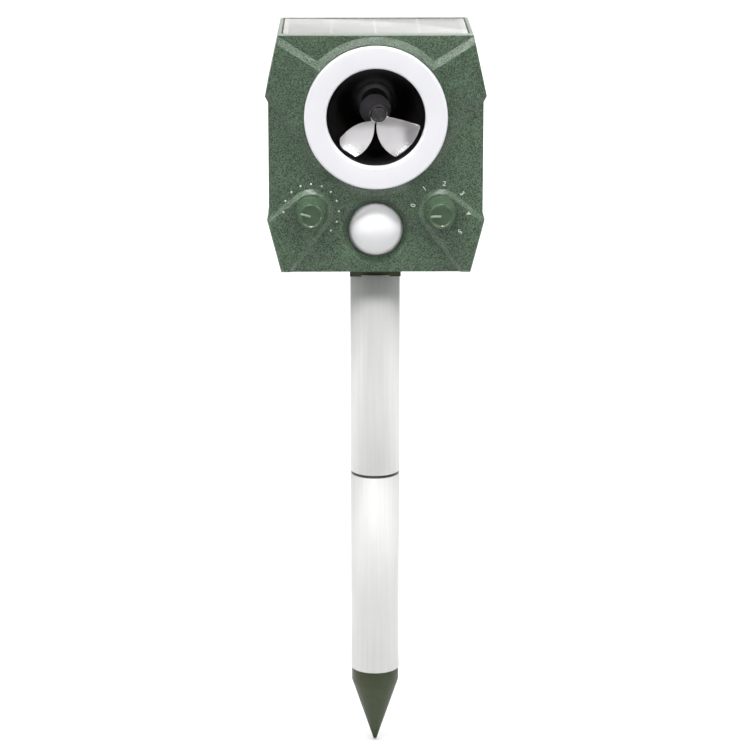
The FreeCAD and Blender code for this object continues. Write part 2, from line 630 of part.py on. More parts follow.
def make_phase_plug():
    """A stepped plug on the horn's axis, with a stem beside that axis for the deflector."""
    inner = "plug_lip_r - (plug_lip_r - stem_r)/3"
    plug = round_part("plug", [
        ("-horn_back", "0"),
        ("-horn_back", "plug_r"),
        ("plug_front - plug_lip", "plug_r"),
        ("plug_front - plug_lip", "plug_lip_r"),
        ("plug_front - plug_step", "plug_lip_r"),
        ("plug_front - plug_step", inner),
        ("plug_front", inner),
        ("plug_front", "0"),
    ])
    stem = rod("stem_side", "-(plug_front - plug_step)", HORN_Z, "stem_r",
               "hub_front - hub_thick - leaf_thick - plug_front + plug_step", "-Y")
    node(fused([plug, stem]), "phase_plug")


# Each leaf's outline, seen from the front. A corner is (share of the leaves' reach, degrees below
# the right-hand horizontal); a pair of them is an arc, through the first and ending at the second.
LEFT_LEAF = [
    [(0.07, 90)],
    [(0.19, 124)],
    [(0.50, 152), (0.91, 147)],
    [(1.00, 140), (1.00, 130)],
    [(1.00, 122), (1.00, 115)],
    [(0.67, 102), (0.22, 97)],
]
RIGHT_LEAF = [
    [(0.09, 14)],
    [(0.65, 12), (1.00, 13)],
    [(1.00, 40), (1.00, 65)],
    [(0.70, 78), (0.24, 86)],
]


def leaf_prism(label, steps):
    """Make a prism over a leaf's outline that passes right through the dish."""
    owner = body(label)
    outline = [
        tuple(text for share, angle in step for text in (
            f"{share}*leaf_reach*cos({angle})", f"-{share}*leaf_reach*sin({angle})"))
        for step in steps
    ]
    drawn = closed(sketch(owner, "XZ_Plane", "hub_front - 2*hub_thick"), outline)
    pad(owner, drawn, "leaf_lift + 2*hub_thick")
    return place(owner, z=HORN_Z)


def make_sound_deflector():
    """Two polished leaves over the horn's lower half, cut from one shallow dish and its flat middle."""
    base = "hub_front - hub_thick"
    middle = "(leaf_hub_r + dish_r)/2"
    dish = round_part("dish", [
        (f"{base} - leaf_thick", "0"),
        (f"{base} - leaf_thick", "leaf_hub_r"),
        (f"{base} - leaf_thick + leaf_lift/3", middle, f"{base} - leaf_thick + leaf_lift", "dish_r"),
        (f"{base} + leaf_lift", "dish_r"),
        (f"{base} + leaf_lift/3", middle, base, "leaf_hub_r"),
        (base, "0"),
    ])
    place(dish, x="stem_side", z=HORN_Z)
    washer = rod("stem_side", "-(hub_front - 2*hub_thick)", HORN_Z, "leaf_hub_r",
                 "leaf_lift + 2*hub_thick", "-Y")
    shared = doc.addObject("Part::Common", "leaves")
    shared.Base = dish
    shared.Tool = fused([washer, leaf_prism("left_leaf", LEFT_LEAF), leaf_prism("right_leaf", RIGHT_LEAF)])
    node(shared, "sound_deflector")


def make_deflector_nut():
    node(rod("stem_side", "-(hub_front - hub_thick)", HORN_Z, "hub_r", "hub_thick", "-Y"), "deflector_nut")


# ---- Motion sensor ----

def make_pir_lens():
    """A thin white dome with a flange behind the cover."""
    skirt_back = "face_front - crater_deep - eye_skin - eye_flange"
    rise = "(eye_front - eye_base_front)"
    ball = f"((eye_r*eye_r + {rise}*{rise}) / (2*{rise}))"
    half_turn = f"asin(eye_r/{ball})/2"

    def along(radius):
        return (f"eye_front - {ball} + ({radius})*cos({half_turn})", f"({radius})*sin({half_turn})")

    owner = round_part("pir_lens", [
        (skirt_back, "eye_flange_r"),
        (f"{skirt_back} + eye_flange", "eye_flange_r"),
        (f"{skirt_back} + eye_flange", "eye_r"),
        ("eye_base_front", "eye_r"),
        (*along(ball), "eye_front", "0"),
        ("eye_front - eye_skin", "0"),
        (*along(f"{ball} - eye_skin"), "eye_base_front", "eye_r - eye_skin"),
        (skirt_back, "eye_r - eye_skin"),
    ])
    place(owner, z=EYE_Z)
    node(owner, "pir_lens")


def make_pir_sensor():
    can = rod("0", "-board_front", EYE_Z, "can_r", "can_high", "-Y")
    brim = rod("0", "-board_front", EYE_Z, "can_r + can_brim", "can_brim", "-Y")
    node(fused([can, brim]), "pir_sensor")


# ---- Main board, knobs and potentiometers ----

def make_main_board():
    owner = body("main_board")
    drawn = sketch(owner, "XZ_Plane", "board_front - board_thick")
    rectangle(drawn, ("-board_half", "board_half"),
              (f"{CASE_LOW} + board_low_up", f"{CASE_LOW} + board_high_up"))
    circles(drawn, BOARD_POSTS, "hole_r")
    pad(owner, drawn, "board_thick")
    node(owner, "main_board")


def make_board_screws():
    back = "-(board_front - board_thick)"
    node(fused([screw(x, back, z, "-Y", "screw_long") for x, z in BOARD_POSTS]), "board_screws")


# Chips on the main board: from x, to x, from and to above the case's foot, thickness.
CHIPS = [(-8, 4, 28, 40, 2.0), (12, 18, 30, 35, 1.6)]
# Capacitors and the coil: x, distance above the case's foot, radius, length.
DRUMS = [(-26, 40, 3.1, 8), (-18, 40, 3.1, 8), (26, 38, 5, 6)]


def make_board_parts():
    """Chips, capacitors and a coil on the rear of the main board."""
    back = "-(board_front - board_thick)"
    parts = [
        block((str(left), str(right)), (back, f"{back} + {thick}"),
              (f"{CASE_LOW} + {low}", f"{CASE_LOW} + {high}"))
        for left, right, low, high, thick in CHIPS
    ]
    parts += [rod(str(x), back, f"{CASE_LOW} + {up}", str(radius), str(length), "Y")
              for x, up, radius, length in DRUMS]
    node(fused(parts), "board_components")


def make_knob(label, side, turn):
    """A tapered knob with a dished face, a raised rim, a pointer rib and grip ribs on its skirt."""
    front = "knob_lift + knob_high"
    floor = f"{front} - knob_dish"
    owner = turned(label, [tuple(f"-({v})" if i % 2 == 0 else v for i, v in enumerate(p)) for p in [
        ("knob_lift", "shaft_r"),
        ("knob_lift", "knob_r"),
        ("knob_lift + knob_skirt", "knob_r"),
        (front, "knob_top_r"),
        (front, "knob_top_r - knob_rim"),
        (floor, "knob_top_r - knob_rim"),
        (floor, "0"),
        (f"{floor} - bore_roof", "0"),
        (f"{floor} - bore_roof", "shaft_r"),
    ]], "H_Axis")
    pointer = rectangle(sketch(owner, "XZ_Plane", f"{floor} - bore_roof/2"),
                        ("-pointer_long", "pointer_wide/2"), ("-pointer_wide/2", "pointer_wide/2"))
    pad(owner, pointer, "bore_roof/2 + pointer_high")

    def beside(radius, offset):
        return (f"-({radius})*cos(grip_first) - ({offset})*sin(grip_first)",
                f"({radius})*sin(grip_first) - ({offset})*cos(grip_first)")

    drawn = closed(sketch(owner, "XZ_Plane", "knob_lift + knob_skirt"), [
        beside("grip_in", "-grip_wide/2"),
        beside("grip_out", "-grip_wide/2"),
        beside("grip_out", "grip_wide/2"),
        beside("grip_in", "grip_wide/2"),
    ])
    grip = pad(owner, drawn, "grip_front")
    around = owner.newObject("PartDesign::PolarPattern", "grips")
    around.Originals = [grip]
    around.Axis = (drawn, ["N_Axis"])
    around.Angle = 360
    bind(around, Occurrences="grip_count")
    owner.Tip = around
    owner.Placement.Rotation = FreeCAD.Rotation(FreeCAD.Vector(0, 1, 0), number(turn))
    place(owner, f"{side}knob_x", "-(face_front + relief)", KNOB_Z)
    node(owner, label)


def make_pot(label, side):
    """The fixed part of a potentiometer: a square case and a threaded bush."""
    case = block((f"{side}knob_x - pot_wide/2", f"{side}knob_x + pot_wide/2"),
                 ("-(board_front + pot_deep)", "-board_front"),
                 (f"{KNOB_Z} - pot_wide/2", f"{KNOB_Z} + pot_wide/2"))
    bush = rod(f"{side}knob_x", "-(board_front + pot_deep)", KNOB_Z, "bush_r", "bush_long", "-Y")
    bore = rod(f"{side}knob_x", "-(board_front + pot_floor)", KNOB_Z, "shaft_r + shaft_slot",
               "pot_deep + bush_long", "-Y")
    node(cut(fused([case, bush]), [bore]), label)


def make_pot_shaft(label, side):
    """The turning spindle, from just inside the potentiometer to the floor of the knob's bore."""
    tip = "face_front + relief + knob_lift + knob_high - knob_dish - bore_roof"
    start = "board_front + pot_floor + seat_gap"
    node(rod(f"{side}knob_x", f"-({start})", KNOB_Z, "shaft_r", f"{tip} - ({start})", "-Y"), label)


def make_dial_dots():
    """Raised dots round the left knob, from nine o'clock clockwise; the first stands on the knob pad."""
    dots = []
    for index in range(int(number("dot_count"))):
        angle = f"({index}*dot_step - 90)"
        base = "face_front + relief" if index == 0 else "face_front"
        dots.append(rod(f"dot_at*sin({angle}) - knob_x", f"-({base})", f"{KNOB_Z} + dot_at*cos({angle})",
                        "dot_r", "dot_high", "-Y"))
    node(fused(dots), "dial_dots")


# ---- Solar panel ----

def make_solar_panel():
    """A cell board, its black gasket and a clear cover, let into the roof."""
    floor = f"{CASE_TOP} - recess"
    half = ("-panel_half", "panel_half")
    node(block(half, ("-seam_front", "panel_back"), (floor, f"{floor} + cell_thick - cell_film")),
         "solar_board")
    cells = []
    pitch = "(2*panel_half - 2*cell_margin + cell_gap) / cell_count"
    for index in range(int(number("cell_count"))):
        low = f"cell_margin - panel_half + {index}*{pitch}"
        cells.append(block((low, f"{low} + {pitch} - cell_gap"),
                           ("cell_margin - seam_front", "panel_back - cell_margin"),
                           (f"{floor} + cell_thick - cell_film", f"{floor} + cell_thick")))
    node(fused(cells), "solar_cells")
    cover_low = f"{floor} + cell_thick"
    node(block(half, ("-seam_front", "panel_back"), (cover_low, f"{cover_low} + cover_thick")), "solar_cover")
    wide = "panel_half + gasket"
    outer = block((f"-({wide})", wide), ("-seam_front", "panel_back + gasket"),
                  (floor, f"{cover_low} + cover_thick"))
    inner = block(half, ("-seam_front - gasket", "panel_back"), (f"{floor} - recess", f"{CASE_TOP} + recess"))
    node(cut(outer, [inner]), "solar_gasket")


# ---- Battery compartment ----

def make_battery_tray():
    """An open tray behind the door with a flat rim against the rear wall."""
    inner_back = "case_back - wall"
    rim = block(("-rim_half", "rim_half"), (f"{inner_back} - tray_rim", inner_back),
                (f"{BAY_Z} - rim_half_high", f"{BAY_Z} + rim_half_high"))
    box = block(("-bay_half - tray_wall", "bay_half + tray_wall"), ("-bay_front - tray_wall", inner_back),
                (f"{BAY_Z} - bay_half_high - tray_wall", f"{BAY_Z} + bay_half_high + tray_wall"))
    hollow = block(("-bay_half", "bay_half"), ("-bay_front", "case_back"),
                   (f"{BAY_Z} - bay_half_high", f"{BAY_Z} + bay_half_high"))
    holes = [rod(x, f"{inner_back} - 2*tray_rim", z, "hole_r", "3*tray_rim", "Y") for x, z in DOOR_SCREWS]
    node(cut(fused([rim, box]), [hollow] + holes), "battery_tray")


def make_battery_cells():
    """Three AA cells side by side, turned end for end in the middle."""
    cells = []
    centre = "-bay_front + cell_r + cell_play"
    for row, way in ((-1, 1), (0, -1), (1, 1)):
        z = f"{BAY_Z} + {row}*cell_pitch"
        can = rod("-cell_long/2", centre, z, "cell_r", "cell_long - nipple_high", "X")
        nipple = rod("cell_long/2 - 2*nipple_high", centre, z, "nipple_r", "2*nipple_high", "X")
        if way < 0:
            place(can, "-cell_long/2 + nipple_high", centre, z)
            place(nipple, "-cell_long/2", centre, z)
        cells.append(fused([can, nipple]))
    node(fused(cells), "battery_cells")


def make_battery_contacts():
    """Contact plates at both ends of every cell."""
    plates = []
    centre = "-bay_front + cell_r + cell_play"
    for row in (-1, 0, 1):
        z = f"{BAY_Z} + {row}*cell_pitch"
        for low in ("-cell_long/2 - spring_long - spring_thick", "cell_long/2 + stud_contact"):
            plates.append(block((low, f"{low} + spring_thick"),
                                (f"{centre} - contact_half", f"{centre} + contact_half"),
                                (f"{z} - contact_half", f"{z} + contact_half")))
        plates.append(rod("-cell_long/2 - spring_long", centre, z, "nipple_r", "spring_long", "X"))
        plates.append(rod("cell_long/2", centre, z, "nipple_r", "stud_contact", "X"))
    node(fused(plates), "battery_contacts")


def make_battery_door():
    gap = "door_gap"
    outer_x = (f"{gap} - door_half", f"door_half - {gap}")
    outer_z = (f"{BAY_Z} - door_half_high + {gap}", f"{BAY_Z} + door_half_high - {gap}")
    plate = block(outer_x, ("case_back - door_thick", "case_back"), outer_z)
    holes = [rod(x, "case_back - wall", z, "screw_r", "2*wall", "Y") for x, z in DOOR_SCREWS]
    node(cut(plate, holes), "battery_door")
    ring = block(outer_x, ("case_back - wall", "case_back - door_thick"), outer_z)
    window = block((f"{gap} - door_half + seal_band", f"door_half - {gap} - seal_band"),
                   ("case_back - 2*wall", "case_back"),
                   (f"{BAY_Z} - door_half_high + {gap} + seal_band",
                    f"{BAY_Z} + door_half_high - {gap} - seal_band"))
    passages = [rod(x, "case_back - 2*wall", z, "hole_r", "2*wall", "Y") for x, z in DOOR_SCREWS]
    node(cut(ring, [window] + passages), "door_seal")
    node(fused([screw(x, "case_back", z, "-Y", "door_screw_long") for x, z in DOOR_SCREWS]), "door_screws")


# ---- Switch and charging port ----

def make_port_board():
    node(block(("-io_half", "io_half"), ("io_back", "io_back + board_thick"),
               (f"{PORT_Z} - io_half_high", f"{PORT_Z} + io_half_high")), "port_board")


def make_switch():
    front = "io_back + board_thick"
    inner_back = "case_back - wall"
    can = block(("switch_x - switch_long/2", "switch_x + switch_long/2"), (front, inner_back),
                (f"{PORT_Z} - switch_high/2", f"{PORT_Z} + switch_high/2"))
    track = block(("switch_x - slot_long/2", "switch_x + slot_long/2"),
                  (f"{inner_back} - track_deep", "case_back"),
                  (f"{PORT_Z} - slot_high/2", f"{PORT_Z} + slot_high/2"))
    node(cut(can, [track]), "switch_body")
    low = "switch_x - slider_travel/2 - slider_long/2"
    node(block((low, f"{low} + slider_long"), (f"{inner_back} - slider_deep", "case_back + slider_proud"),
               (f"{PORT_Z} - slider_high/2", f"{PORT_Z} + slider_high/2")), "switch_slider")


def make_usb_socket():
    """A shallow metal shell with its contact tongue."""
    front = "io_back + board_thick"
    mouth = "case_back - wall"
    shell = block(("usb_x - usb_wide/2", "usb_x + usb_wide/2"), (front, mouth),
                  (f"{PORT_Z} - usb_high/2", f"{PORT_Z} + usb_high/2"))
    hollow = block(("usb_x - usb_wide/2 + usb_skin", "usb_x + usb_wide/2 - usb_skin"),
                   (f"{front} + usb_floor", "case_back"),
                   (f"{PORT_Z} - usb_high/2 + usb_skin", f"{PORT_Z} + usb_high/2 - usb_skin"))
    tongue = block(("usb_x - usb_wide/4", "usb_x + usb_wide/4"),
                   (f"{front} + usb_floor/2", f"{mouth} - usb_floor"),
                   (f"{PORT_Z} - tongue_half", f"{PORT_Z} + tongue_half"))
    node(fused([cut(shell, [hollow]), tongue]), "usb_socket")


def make_usb_cover():
    """A rubber flap with a short stud; it swings on the round bead at the top of its tether."""
    low = "case_back + flap_gap"
    flap = block(("usb_x - flap_wide/2", "usb_x + flap_wide/2"), (low, f"{low} + flap_thick"),
                 (f"{PORT_Z} - flap_high/2", f"{PORT_Z} + flap_high/2"))
    tether = block(("usb_x - flap_wide/4", "usb_x + flap_wide/4"), (low, f"{low} + flap_thick/2"),
                   (f"{PORT_Z} + flap_high/2", f"{PORT_Z} + flap_high/2 + tether_high"))
    bead = rod("usb_x - flap_wide/4", f"{low} + flap_thick/4", f"{PORT_Z} + flap_high/2 + tether_high",
               "flap_thick/4", "flap_wide/2", "X")
    stud = block(("usb_x - stud_wide/2", "usb_x + stud_wide/2"),
                 ("case_back - stud_long", f"{low} + flap_thick/2"),
                 (f"{PORT_Z} - stud_high/2", f"{PORT_Z} + stud_high/2"))
    node(fused([flap, tether, bead, stud]), "usb_cover")


make_spike()
make_tube("lower_tube", "spike_high", LOW_TUBE_TOP)
make_coupler()
make_tube("upper_tube", UP_TUBE_LOW, UP_TUBE_TOP)
make_neck()
make_neck_screws()
make_front_cover()
make_rear_housing()
make_case_seal()
make_case_screws()
make_light_ring()
make_led_board()
make_leds()
make_horn()
make_horn_screws()
make_horn_driver()
make_phase_plug()
make_sound_deflector()
make_deflector_nut()
make_pir_lens()
make_pir_sensor()
make_main_board()
make_board_screws()
make_board_parts()
for side_name, side_sign, knob_turn in (("left", "-", "left_knob_turn"), ("right", "", "0")):
    make_knob(f"knob_{side_name}", side_sign, knob_turn)
    make_pot(f"pot_{side_name}", side_sign)
    make_pot_shaft(f"pot_shaft_{side_name}", side_sign)
make_dial_dots()
make_solar_panel()
make_battery_tray()
make_battery_cells()
make_battery_contacts()
make_battery_door()
make_port_board()
make_switch()
make_usb_socket()
make_usb_cover()

doc.recompute()
for item in doc.Objects:
    if {"Invalid", "Error"} & set(item.State):
        raise RuntimeError(f"{item.Label}: {item.State}")
os.makedirs("parts", exist_ok=True)
for item in nodes:
    shape = item.Shape
    if shape.isNull() or not shape.isValid() or not shape.Solids:
        raise RuntimeError(f"{item.Label}: bad shape")
    shape.exportStep(f"parts/{item.Label}.step")
    box = shape.BoundBox
    print(f"{item.Label}: {len(shape.Solids)} solids, {shape.Volume:.0f} mm3, "
          f"x {box.XMin:.1f}..{box.XMax:.1f} y {box.YMin:.1f}..{box.YMax:.1f} "
          f"z {box.ZMin:.1f}..{box.ZMax:.1f}")
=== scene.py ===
import json
import math

import bmesh
import bpy
from mathutils import Matrix, Vector


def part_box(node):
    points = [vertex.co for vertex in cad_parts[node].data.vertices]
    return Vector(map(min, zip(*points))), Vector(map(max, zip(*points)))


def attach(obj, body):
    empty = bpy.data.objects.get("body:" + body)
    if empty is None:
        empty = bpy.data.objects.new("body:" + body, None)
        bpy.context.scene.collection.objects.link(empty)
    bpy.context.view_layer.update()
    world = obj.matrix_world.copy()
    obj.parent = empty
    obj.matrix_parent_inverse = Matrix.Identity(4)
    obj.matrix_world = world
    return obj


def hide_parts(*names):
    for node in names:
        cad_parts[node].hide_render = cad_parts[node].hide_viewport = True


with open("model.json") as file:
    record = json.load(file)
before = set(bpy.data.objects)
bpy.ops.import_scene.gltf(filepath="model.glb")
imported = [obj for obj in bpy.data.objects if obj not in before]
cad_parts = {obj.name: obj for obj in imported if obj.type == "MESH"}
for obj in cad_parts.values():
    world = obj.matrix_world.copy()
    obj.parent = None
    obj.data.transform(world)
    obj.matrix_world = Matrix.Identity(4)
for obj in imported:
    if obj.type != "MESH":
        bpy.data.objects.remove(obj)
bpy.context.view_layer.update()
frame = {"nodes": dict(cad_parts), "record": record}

# Solar ultrasonic pest repeller on a ground stake: looks only. Metres, in the CAD frame:
# +Z up the stake, -Y out of the front face, origin at the spike's tip.

MM = 0.001

PAD_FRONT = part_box("front_cover")[0].y  # front of the raised wings and knob pads
FACE = PAD_FRONT + 2.0 * MM             # front of the lower face between them
TURN_PARTS = 144                        # segments round a turned part
ON_AXIS = 0.0001 * MM                   # a smaller radius than this is a point on the axis
HEAD_R = 2.4 * MM                       # the cross-head screws
HEAD_HIGH = 1.8 * MM
SHANK_R = 1.2 * MM


# ---------------------------------------------------------------- mesh helpers

def piece(name, mesh, material, body, replaced=None):
    """Link a finished mesh as a piece that rides on a CAD body, in place of a CAD node if one is named."""
    made = bpy.data.objects.new(name, mesh)
    bpy.context.scene.collection.objects.link(made)
    made.data.materials.clear()
    made.data.materials.append(material)
    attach(made, body)
    if replaced:
        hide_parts(replaced)


def smooth(mesh, angle=35):
    """Shade smooth, but keep edges sharper than the angle."""
    mesh.shade_smooth()
    mesh.set_sharp_from_angle(angle=math.radians(angle))
    return mesh


def softened(points, radius, steps=4):
    """Round each inner corner of a profile with a short curve that starts a radius away from it."""
    done = [Vector(points[0])]
    for before, corner, after in zip(points, points[1:], points[2:]):
        before, corner, after = Vector(before), Vector(corner), Vector(after)
        reach = min(radius, (before - corner).length / 2, (after - corner).length / 2)
        start = corner + (before - corner).normalized() * reach
        end = corner + (after - corner).normalized() * reach
        for step in range(steps + 1):
            t = step / steps
            done.append(start * (1 - t) ** 2 + corner * 2 * t * (1 - t) + end * t ** 2)
    done.append(Vector(points[-1]))
    return done


def turned(name, profile, axis):
    """Revolve (y, radius) points about the line along Y through a point."""
    shape = bmesh.new()
    rings = []
    for along, radius in profile:
        count = TURN_PARTS if radius > ON_AXIS else 1
        ring = []
        for index in range(count):
            angle = 2 * math.pi * index / TURN_PARTS
            spot = Vector((radius * math.cos(angle), along, radius * math.sin(angle)))
            ring.append(shape.verts.new(axis + spot))
        rings.append(ring)
    for first, second in zip(rings, rings[1:]):
        for index in range(TURN_PARTS):
            after = (index + 1) % TURN_PARTS
            if len(first) == 1 and len(second) == 1:
                continue
            if len(first) == 1:
                shape.faces.new((first[0], second[after], second[index]))
            elif len(second) == 1:
                shape.faces.new((first[index], first[after], second[0]))
            else:
                shape.faces.new((first[index], first[after], second[after], second[index]))
    bmesh.ops.recalc_face_normals(shape, faces=shape.faces)
    mesh = bpy.data.meshes.new(name)
    shape.to_mesh(mesh)
    shape.free()
    return smooth(mesh)


def joined(name, meshes):
    """Put several meshes into one."""
    whole = bmesh.new()
    for mesh in meshes:
        whole.from_mesh(mesh)
    mesh = bpy.data.meshes.new(name)
    whole.to_mesh(mesh)
    whole.free()
    return mesh


# ---------------------------------------------------------------- material helpers

def new_material(name, colour, roughness, metallic=0.0, **sockets):
    """Start a material whose uniform values sit on the shader's own sockets."""
    made = bpy.data.materials.new(name)
    made.use_nodes = True
    shader = made.node_tree.nodes["Principled BSDF"]
    shader.inputs["Base Color"].default_value = (*colour, 1)
    shader.inputs["Roughness"].default_value = roughness
    shader.inputs["Metallic"].default_value = metallic
    for socket, value in sockets.items():
        shader.inputs[socket.replace("_", " ")].default_value = value
    return made


def shader_of(material):
    return material.node_tree.nodes["Principled BSDF"]


def pattern(material, kind, scale, stretch=(1, 1, 1), **settings):
    """Add a procedural texture in object coordinates and give its node."""
    tree = material.node_tree
    where = tree.nodes.new("ShaderNodeTexCoord")
    fit = tree.nodes.new("ShaderNodeMapping")
    fit.inputs["Scale"].default_value = stretch
    texture = tree.nodes.new(kind)
    texture.inputs["Scale"].default_value = scale
    for socket, value in settings.items():
        texture.inputs[socket].default_value = value
    tree.links.new(where.outputs["Object"], fit.inputs["Vector"])
    tree.links.new(fit.outputs["Vector"], texture.inputs["Vector"])
    return texture


def ramp(material, source, stops):
    """Map a texture's value to colours at the given positions."""
    tree = material.node_tree
    made = tree.nodes.new("ShaderNodeValToRGB")
    made.color_ramp.elements[0].position = stops[0][0]
    made.color_ramp.elements[0].color = (*stops[0][1], 1)
    made.color_ramp.elements[1].position = stops[-1][0]
    made.color_ramp.elements[1].color = (*stops[-1][1], 1)
    for position, colour in stops[1:-1]:
        made.color_ramp.elements.new(position).color = (*colour, 1)
    tree.links.new(source, made.inputs["Fac"])
    return made.outputs["Color"]


def set_colour(material, source, stops):
    """Let a texture's value vary the base colour through a ramp."""
    result = ramp(material, source, stops)
    material.node_tree.links.new(result, shader_of(material).inputs["Base Color"])


def colour_from(material, texture, low, high):
    """Let a texture vary the base colour between two colours, most of it near the middle."""
    low_at, high_at = 0.3, 0.7
    set_colour(material, texture.outputs["Fac"], [(low_at, low), (high_at, high)])


def roughness_from(material, texture, low, high, socket="Fac"):
    """Let a texture vary the roughness between two values."""
    tree = material.node_tree
    span = tree.nodes.new("ShaderNodeMapRange")
    span.inputs["To Min"].default_value = low
    span.inputs["To Max"].default_value = high
    tree.links.new(texture.outputs[socket], span.inputs["Value"])
    tree.links.new(span.outputs["Result"], shader_of(material).inputs["Roughness"])


def bumps_from(material, texture, distance, strength, socket="Fac"):
    """Let a texture raise the surface by up to a distance."""
    tree = material.node_tree
    bump = tree.nodes.new("ShaderNodeBump")
    bump.inputs["Distance"].default_value = distance
    bump.inputs["Strength"].default_value = strength
    tree.links.new(texture.outputs[socket], bump.inputs["Height"])
    tree.links.new(bump.outputs["Normal"], shader_of(material).inputs["Normal"])


def tone(colour, share):
    """A colour made darker or lighter."""
    return tuple(min(1, part * share) for part in colour)


# ---------------------------------------------------------------- materials

def grained_plastic(name, colour):
    """Moulded plastic with a spark-eroded grain: pits about half a millimetre across."""
    roughness, cloud_share = 0.36, 0.12
    made = new_material(name, colour, roughness, **{"Specular IOR Level": 0.6})
    cells = pattern(made, "ShaderNodeTexNoise", scale=1500, Detail=2.0, Roughness=0.6)
    cloud = pattern(made, "ShaderNodeTexNoise", scale=90, Detail=3.0, Roughness=0.6)
    mixed = made.node_tree.nodes.new("ShaderNodeMath")
    mixed.operation = "MULTIPLY_ADD"
    mixed.inputs[1].default_value = cloud_share
    made.node_tree.links.new(cloud.outputs["Fac"], mixed.inputs[0])
    made.node_tree.links.new(cells.outputs["Fac"], mixed.inputs[2])
    set_colour(made, mixed.outputs["Value"], [(0.42, tone(colour, 0.15)), (0.71, tone(colour, 1.85))])
    roughness_from(made, cells, roughness - 0.08, roughness + 0.1)
    bumps_from(made, cells, 0.25 * MM, 0.9)
    return made


def satin_plastic(name, colour, roughness, gloss=0.5):
    """Smooth moulded plastic with faint unevenness."""
    made = new_material(name, colour, roughness, **{"Specular IOR Level": gloss})
    cloud = pattern(made, "ShaderNodeTexNoise", scale=240, Detail=3.0)
    colour_from(made, cloud, tone(colour, 0.92), tone(colour, 1.08))
    roughness_from(made, cloud, roughness - 0.05, roughness + 0.06)
    bumps_from(made, cloud, 0.05 * MM, 0.15)
    return made


def satin_aluminium():
    """Extruded, anodised tube: faint lines along its length."""
    made = new_material("satin_aluminium", (0.84, 0.84, 0.83), 0.6, metallic=0.15)
    lines = pattern(made, "ShaderNodeTexNoise", scale=900, stretch=(1, 1, 0.02), Detail=2.0)
    colour_from(made, lines, (0.50, 0.50, 0.495), (0.55, 0.55, 0.54))
    roughness_from(made, lines, 0.55, 0.65)
    bumps_from(made, lines, 0.03 * MM, 0.12)
    return made


def milky(name, colour, roughness, scatter):
    """Translucent white plastic."""
    made = new_material(name, colour, roughness, Subsurface_Weight=scatter,
                        Subsurface_Radius=(4 * MM, 4 * MM, 4.5 * MM), Subsurface_Scale=0.4)
    cloud = pattern(made, "ShaderNodeTexNoise", scale=70, Detail=2.0)
    colour_from(made, cloud, tone(colour, 0.975), colour)
    roughness_from(made, cloud, roughness - 0.03, roughness + 0.04)
    return made


def lens_sheet():
    """Milky lens plastic with faint facets."""
    made = milky("lens_sheet", (0.57, 0.57, 0.58), 0.6, 0.9)
    facets = pattern(made, "ShaderNodeTexVoronoi", scale=330)
    facets.feature = "DISTANCE_TO_EDGE"
    bumps_from(made, facets, 0.12 * MM, 0.4, socket="Distance")
    return made


def polished_metal():
    """Bright metal, a little uneven in gloss."""
    made = new_material("polished_metal", (0.86, 0.84, 0.855), 0.16, metallic=1.0)
    cloud = pattern(made, "ShaderNodeTexNoise", scale=160, Detail=3.0)
    colour_from(made, cloud, (0.80, 0.78, 0.80), (0.88, 0.86, 0.875))
    roughness_from(made, cloud, 0.12, 0.24)
    return made


def plain_metal(name, colour, roughness):
    """Plated or turned steel with fine scratches."""
    made = new_material(name, colour, roughness, metallic=1.0)
    scratches = pattern(made, "ShaderNodeTexNoise", scale=2200, stretch=(1, 0.15, 1), Detail=3.0)
    colour_from(made, scratches, tone(colour, 0.85), tone(colour, 1.1))
    roughness_from(made, scratches, roughness - 0.06, roughness + 0.1)
    bumps_from(made, scratches, 0.03 * MM, 0.2)
    return made


def rubber():
    """Matt black rubber with a trace of dust."""
    made = new_material("black_rubber", (0.022, 0.022, 0.022), 0.65)
    dust = pattern(made, "ShaderNodeTexNoise", scale=1800, Detail=3.0)
    colour_from(made, dust, (0.017, 0.017, 0.017), (0.032, 0.032, 0.031))
    roughness_from(made, dust, 0.55, 0.75)
    bumps_from(made, dust, 0.06 * MM, 0.2)
    return made


def circuit_board():
    """Green solder mask over faint tracks."""
    made = new_material("circuit_board", (0.02, 0.12, 0.05), 0.35)
    tracks = pattern(made, "ShaderNodeTexBrick", scale=260)
    colour_from(made, tracks, (0.015, 0.10, 0.04), (0.03, 0.17, 0.07))
    roughness_from(made, tracks, 0.3, 0.42)
    return made


def solar_cell():
    """Blue-black silicon with fine silver fingers."""
    made = new_material("solar_cell", (0.02, 0.025, 0.06), 0.28)
    fingers = pattern(made, "ShaderNodeTexWave", scale=500, Distortion=0.0)
    fingers.bands_direction = "Y"
    set_colour(made, fingers.outputs["Fac"],
               [(0.0, (0.018, 0.022, 0.055)), (0.9, (0.02, 0.026, 0.062)), (0.97, (0.35, 0.35, 0.36))])
    flakes = pattern(made, "ShaderNodeTexVoronoi", scale=240)
    roughness_from(made, flakes, 0.2, 0.4, socket="Distance")
    return made


def clear_cover():
    """Clear plate with a faint haze."""
    made = new_material("clear_cover", (0.62, 0.61, 0.57), 0.2, Transmission_Weight=0.85, IOR=1.5,
                        **{"Specular IOR Level": 1.0})
    haze = pattern(made, "ShaderNodeTexNoise", scale=60, Detail=3.0)
    roughness_from(made, haze, 0.12, 0.3)
    return made


def battery_wrap():
    """A plain blue plastic sleeve."""
    made = new_material("battery_wrap", (0.10, 0.24, 0.46), 0.3)
    cloud = pattern(made, "ShaderNodeTexNoise", scale=300, Detail=2.0)
    colour_from(made, cloud, (0.09, 0.22, 0.43), (0.12, 0.27, 0.5))
    return made


def floor_white():
    """Even pale floor."""
    made = new_material("floor_white", (0.93, 0.93, 0.93), 0.9)
    cloud = pattern(made, "ShaderNodeTexNoise", scale=3, Detail=2.0)
    colour_from(made, cloud, (0.925, 0.925, 0.925), (0.935, 0.935, 0.935))
    return made


